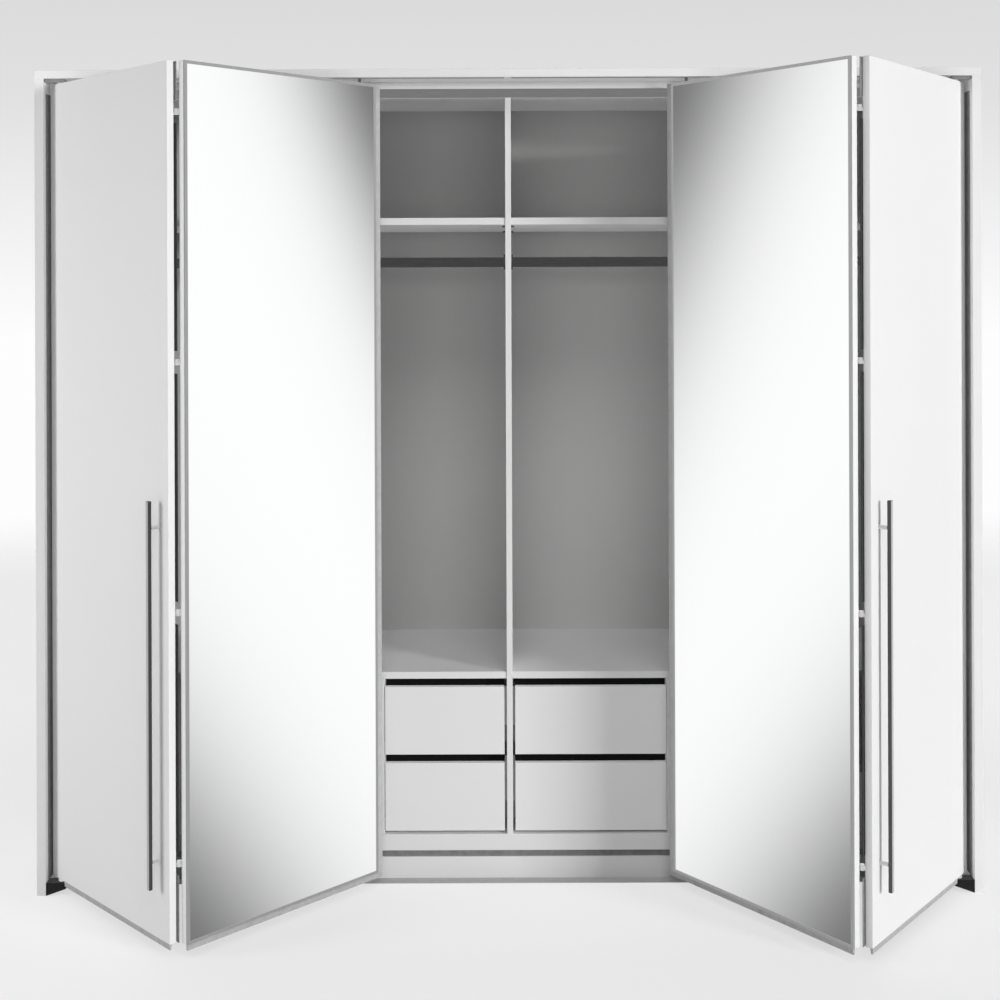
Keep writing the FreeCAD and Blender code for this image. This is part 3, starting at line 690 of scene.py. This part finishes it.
# %% [markdown]
# The clothes rails hang between round flanges, each with a screw above and one below the rail. The
# wall brackets are screwed down onto the carcass top. Their places are read from the solids.

# %% Screws of the rail flanges and wall brackets
FLANGE_THICK = 0.006
FLANGE_SCREW_RISE = 0.0172
BRACKET_SCREWS = ((-0.012, -0.027), (0.012, -0.027))
BRACKET_THICK = 0.002
BRACKET_HALF = 0.02

flange_low, flange_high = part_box("rail_flanges")
partition_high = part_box("centre_partition")[1]
bracket_low, bracket_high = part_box("wall_brackets")
flange_middle = (flange_low + flange_high) / 2
screws = bmesh.new()
for sign in (-1, 1):
    for x, look in ((partition_high.x + FLANGE_THICK, 1), (flange_high.x - FLANGE_THICK, -1)):
        for rise in (-FLANGE_SCREW_RISE, FLANGE_SCREW_RISE):
            seat = Matrix.Translation((sign * x, flange_middle.y, flange_middle.z + rise))
            screw_head(screws, seat @ Matrix.Rotation(math.radians(90 * look * sign), 4, "Y"))
    bracket_x = sign * (bracket_high.x - BRACKET_HALF)
    for run, deep in BRACKET_SCREWS:
        seat = (bracket_x + run, bracket_high.y + deep, bracket_low.z + BRACKET_THICK)
        screw_head(screws, Matrix.Translation(seat))
fitting("carcass_screws", screws, FINISHES["steel"], "carcass")

# %% [markdown]
# The back panels are thin and nailed on all round, and a flat strip covers the seam between them. A
# nail is a low cone with few faces, since there are many of them.

# %% Back nails and seam strip
NAIL_STEP = 0.19
NAIL_INSET = 0.012
NAIL_INSET_ASIDE = NAIL_INSET * 1.6
NAIL_RADIUS = 0.0026
NAIL_TOP = 0.6
NAIL_TALL = 0.0009
SEAM_STRIP = (
    (-0.011, 0),
    (0.011, 0),
    (0.0105, 0.0009),
    (0.008, 0.0015),
    (-0.008, 0.0015),
    (-0.0105, 0.0009),
)
SEAM_SHORTER = 0.002


def spaced(start, end):
    """Even places from one end to the other, about a nail's step apart."""
    count = round((end - start) / NAIL_STEP)
    return [start + (end - start) * number / count for number in range(count + 1)]


nails = bmesh.new()
for side in SIDES:
    low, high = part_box(f"back_panel_{side}")
    xs = spaced(low.x + NAIL_INSET_ASIDE, high.x - NAIL_INSET_ASIDE)
    zs = spaced(low.z + NAIL_INSET, high.z - NAIL_INSET)
    places = [(x, z) for x in xs for z in (zs[0], zs[-1])]
    places += [(x, z) for x in (xs[0], xs[-1]) for z in zs[1:-1]]
    for x, z in places:
        bmesh.ops.create_cone(
            nails,
            cap_ends=True,
            segments=8,
            radius1=NAIL_RADIUS,
            radius2=NAIL_RADIUS * NAIL_TOP,
            depth=NAIL_TALL,
            matrix=Matrix.Translation((x, high.y + NAIL_TALL / 2, z)) @ BACKWARDS,
        )
fitting("back_nails", nails, FINISHES["steel"], "carcass")

low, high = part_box("back_panel_right")
strip = bmesh.new()
on_back = Matrix.Translation((0, high.y, 0))
drawn_bar(strip, SEAM_STRIP, low.z + SEAM_SHORTER, high.z - SEAM_SHORTER, on_back)
fitting("back_seam_strip", strip, FINISHES["white_melamine"], "carcass")

# %% [markdown]
# ## The studio
#
# The wardrobe stands on a pale seamless floor that runs into a white backdrop. To the camera the floor
# is partly lit by itself, so that it is as pale as in the photograph without more light on the
# wardrobe, and the rest of it keeps the shadows. Far away it fades into the sky of the scene.

# %% Floor
# Distance to the back in metres, and grey
FLOOR_SHADES = ((-0.7, 0.807), (0.0, 0.863), (1.56, 0.973), (3.0, 0.991))
# Half the width, the middle of the depth and half the depth of the place that gets no glow
UNDER_WARDROBE = (1.2, 0.05, 0.24)
GLOW_STRENGTH = 1.27
GLOW_SHARE = 0.6
FLOOR_HALF = 9.0
FLOOR_FADE = (4.5, 7.5)


def ramp(tree, value, stops):
    """Colour ramp over a range of values, as a socket. The stops are pairs of value and grey."""
    low, high = stops[0][0], stops[-1][0]
    share = add(tree, "ShaderNodeMapRange", Value=value, From_Min=low, From_Max=high).outputs["Result"]
    node = add(tree, "ShaderNodeValToRGB", Fac=share)
    points = node.color_ramp.elements
    while len(points) < len(stops):
        points.new(0.5)
    for point, (at, shade) in zip(points, stops):
        point.position = (at - low) / (high - low)
        point.color = (*grey(shade), 1)
    return node.outputs["Color"]


def mixed(tree, share, first, second):
    """Two shaders mixed by a share from 0 to 1."""
    node = add(tree, "ShaderNodeMixShader", Fac=share)
    tree.links.new(first, node.inputs[1])
    tree.links.new(second, node.inputs[2])
    return node.outputs[0]


def floor_finish():
    """Pale floor that shines evenly to the camera, keeps shadows and fades out far away."""
    finish, tree, shader = new_finish("studio_floor")
    tree.nodes.remove(shader)
    place = add(tree, "ShaderNodeTexCoord").outputs["Object"]
    split = add(tree, "ShaderNodeSeparateXYZ", Vector=place)
    shade = ramp(tree, split.outputs["Y"], FLOOR_SHADES)
    glow = add(tree, "ShaderNodeEmission", Color=shade, Strength=GLOW_STRENGTH).outputs[0]
    matt = add(tree, "ShaderNodeBsdfDiffuse", Color=shade).outputs[0]
    half_wide, middle, half_deep = UNDER_WARDROBE
    beside = reckon(tree, "GREATER_THAN", reckon(tree, "ABSOLUTE", split.outputs["X"]), half_wide)
    depth = reckon(tree, "ABSOLUTE", reckon(tree, "SUBTRACT", split.outputs["Y"], middle))
    outside = reckon(tree, "MAXIMUM", beside, reckon(tree, "GREATER_THAN", depth, half_deep))
    camera_ray = add(tree, "ShaderNodeLightPath").outputs["Is Camera Ray"]
    part = reckon(tree, "MULTIPLY", reckon(tree, "MULTIPLY", camera_ray, outside), GLOW_SHARE)
    near = mixed(tree, part, matt, glow)
    far = add(tree, "ShaderNodeVectorMath", {"operation": "LENGTH"})
    tree.links.new(place, far.inputs[0])
    gone = add(
        tree,
        "ShaderNodeMapRange",
        {"interpolation_type": "SMOOTHSTEP"},
        Value=far.outputs["Value"],
        From_Min=FLOOR_FADE[0],
        From_Max=FLOOR_FADE[1],
    )
    clear = add(tree, "ShaderNodeBsdfTransparent").outputs[0]
    whole = mixed(tree, gone.outputs["Result"], near, clear)
    tree.links.new(whole, tree.nodes["Material Output"].inputs["Surface"])
    return finish


floor_mesh = bmesh.new()
bmesh.ops.create_grid(floor_mesh, x_segments=2, y_segments=2, size=FLOOR_HALF)
floor = mesh_object("floor", floor_mesh, floor_finish())
floor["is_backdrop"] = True
print("floor:", 2 * FLOOR_HALF, "m wide")

# %% [markdown]
# A soft box far to the right is the main light: it passes the right door and falls on the drawers, and
# the right end of the drawers stays in that door's shade. A fill on the left lights the left door, and
# two broad fills above the camera reach into the bays. A faint lamp on the floor stands for the light
# that the floor throws back. None of them shows to the camera or in a mirror.

# %% Lamps
AIM = Vector((0, -0.2, 0.7))
# Each lamp: turn to the right and rise in degrees, distance, width and height in metres, power in watts
LAMPS = {
    "soft_box": (51, 10, 12.0, 2.0, 1.6, 920),
    "fill_left": (-66, 11, 4.2, 1.2, 1.6, 57),
    "fill_front": (0, 24, 2.8, 2.0, 1.0, 11),
    "fill_top": (8, 50, 12.0, 7.0, 4.0, 255),
}
BOUNCE_AT = Vector((0, -0.95, 0.02))
BOUNCE_SIZE = (1.0, 0.9)
BOUNCE_POWER = 0.8


def area_lamp(name, place, wide, tall, power):
    """Rectangular lamp that shines along its -Z axis and can't be seen itself."""
    light = bpy.data.lights.new(name, "AREA")
    light.shape = "RECTANGLE"
    light.size = wide
    light.size_y = tall
    light.energy = power
    lamp = bpy.data.objects.new(name, light)
    lamp.matrix_world = place
    lamp.visible_camera = False
    lamp.visible_glossy = False
    bpy.context.scene.collection.objects.link(lamp)


for name, (turn, rise, far, wide, tall, power) in LAMPS.items():
    turned = Matrix.Rotation(math.radians(turn), 4, "Z") @ Matrix.Rotation(math.radians(90 - rise), 4, "X")
    place = Matrix.Translation(AIM) @ turned @ Matrix.Translation((0, 0, far))
    area_lamp(name, place, wide, tall, power)

upwards = Matrix.Translation(BOUNCE_AT) @ Matrix.Rotation(math.pi, 4, "X")
area_lamp("floor_bounce", upwards, *BOUNCE_SIZE, BOUNCE_POWER)
print("lamps:", sorted(LAMPS), "and the bounce from the floor")

# %% [markdown]
# The mirrors show the studio and nothing else, as in the photograph: white, with a soft grey in one
# upper and one lower corner. Those greys are two broad dark flags on each side of the studio. To
# find where a flag has to stand, a line of sight is followed to a corner of the mirror and thrown
# back from it.


# %% Where the mirrors look
def thrown_back(side, point):
    """Direction in which a line of sight leaves the mirror at a point, as two slopes.

    The first slope is towards the back and the second is upwards, both per metre sideways.
    """
    sight = Vector(point) - CAMERA_AT
    leaving = sight.reflect(face_direction(side))
    return leaving.y / abs(leaving.x), leaving.z / abs(leaving.x)


def mirror_corners(side):
    """Slopes at the mirror's lower corner by the fold and its upper corner by the free edge."""
    low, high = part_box(f"{side}_mirror")
    fold_x, free_x = (low.x, high.x) if side == "left" else (high.x, low.x)
    return thrown_back(side, (fold_x, low.y, low.z)), thrown_back(side, (free_x, high.y, high.z))


for side in SIDES:
    print(side, "mirror looks from", *[[round(x, 3) for x in corner] for corner in mirror_corners(side)])

# %% [markdown]
# The sky of the scene has three parts to play. The camera sees a white backdrop with a grey top, metal
# and mirrors see a white studio with the flags, and the boards get a dim even light from it. The
# kind of ray tells which of them is asked for. A flag fades out on both sides of a slanting line.

# %% World
AMBIENT = 0.07
# Slope of the line of sight, and grey
SKY_SHADES = ((-0.48, 0.8), (-0.26, 0.98), (-0.03, 0.985), (0.06, 0.85), (0.12, 0.755), (0.2, 0.7))
# How far the lower and the upper flag reach into each mirror: (share of the width, share of the height)
FLAG_REACH = {"left": ((0.86, 0.255), (0.41, 0.24)), "right": ((0.86, 0.25), (0.61, 0.33))}
FLAG_DEPTH = 0.81
FLAG_EDGE = 1.8
DARKEST = 0.1
LEAST_SIDEWAYS = 0.001
# More than no bounce off a board, and less than one
HALF_BOUNCE = 0.5


def flag(tree, side, corner, back, up):
    """Darkness from 0 to 1 of one flag, around the direction in which a corner looks."""
    lower, upper = mirror_corners(side)
    at = (lower, upper)[corner]
    reach = FLAG_REACH[side][corner]
    width, height = abs(upper[0] - lower[0]), abs(upper[1] - lower[1])
    sign = (1, -1)[corner]
    across = reckon(tree, "MULTIPLY", reckon(tree, "SUBTRACT", back, at[0]), sign / (reach[0] * width))
    rising = reckon(tree, "MULTIPLY", reckon(tree, "SUBTRACT", up, at[1]), sign / (reach[1] * height))
    step = reckon(tree, "ABSOLUTE", reckon(tree, "ADD", across, rising))
    fall = reckon(tree, "POWER", step, FLAG_EDGE)
    return reckon(tree, "EXPONENT", reckon(tree, "MULTIPLY", fall, -1.0))


def studio_world():
    """White studio: a grey top for the camera, flags for the mirrors and a dim even light for the rest."""
    world = bpy.data.worlds.new("studio")
    world.use_nodes = True
    tree = world.node_tree
    heading = add(tree, "ShaderNodeTexCoord").outputs["Generated"]
    split = add(tree, "ShaderNodeSeparateXYZ", Vector=heading)
    x, y, z = (split.outputs[axis] for axis in "XYZ")
    squares = reckon(tree, "ADD", reckon(tree, "MULTIPLY", x, x), reckon(tree, "MULTIPLY", y, y))
    sky = ramp(tree, reckon(tree, "DIVIDE", z, reckon(tree, "SQRT", squares)), SKY_SHADES)

    beside = reckon(tree, "MAXIMUM", reckon(tree, "ABSOLUTE", x), LEAST_SIDEWAYS)
    back = reckon(tree, "DIVIDE", y, beside)
    up = reckon(tree, "DIVIDE", z, beside)
    white = 1.0
    for side in SIDES:
        faced = reckon(tree, "GREATER_THAN", reckon(tree, "MULTIPLY", x, TOWARDS_MIDDLE[side]), 0.0)
        dark = reckon(tree, "ADD", flag(tree, side, 0, back, up), flag(tree, side, 1, back, up))
        dark = reckon(tree, "MULTIPLY", reckon(tree, "MULTIPLY", dark, FLAG_DEPTH), faced)
        white = reckon(tree, "SUBTRACT", white, dark)
    white = reckon(tree, "MAXIMUM", white, DARKEST)

    path = add(tree, "ShaderNodeLightPath").outputs
    shiny = reckon(tree, "MAXIMUM", path["Is Glossy Ray"], path["Is Transmission Ray"])
    direct = reckon(tree, "LESS_THAN", path["Diffuse Depth"], HALF_BOUNCE)
    mirrored = add(tree, "ShaderNodeMix", {"data_type": "FLOAT"})
    tree.links.new(reckon(tree, "MULTIPLY", shiny, direct), mirrored.inputs[0])
    mirrored.inputs[2].default_value = AMBIENT
    tree.links.new(white, mirrored.inputs[3])
    shown = tint(tree, path["Is Camera Ray"], mirrored.outputs[0], sky)
    tree.links.new(shown, tree.nodes["Background"].inputs["Color"])
    return world


bpy.context.scene.world = studio_world()
print("world:", bpy.context.scene.world.name, "with", 2 * len(SIDES), "flags")

# %% [markdown]
# ## The finished size
#
# The size of the finished object, without the floor, is printed.

# %% Print the finished size
low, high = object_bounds()
print("finished size in metres:", [round(x, 4) for x in high - low])
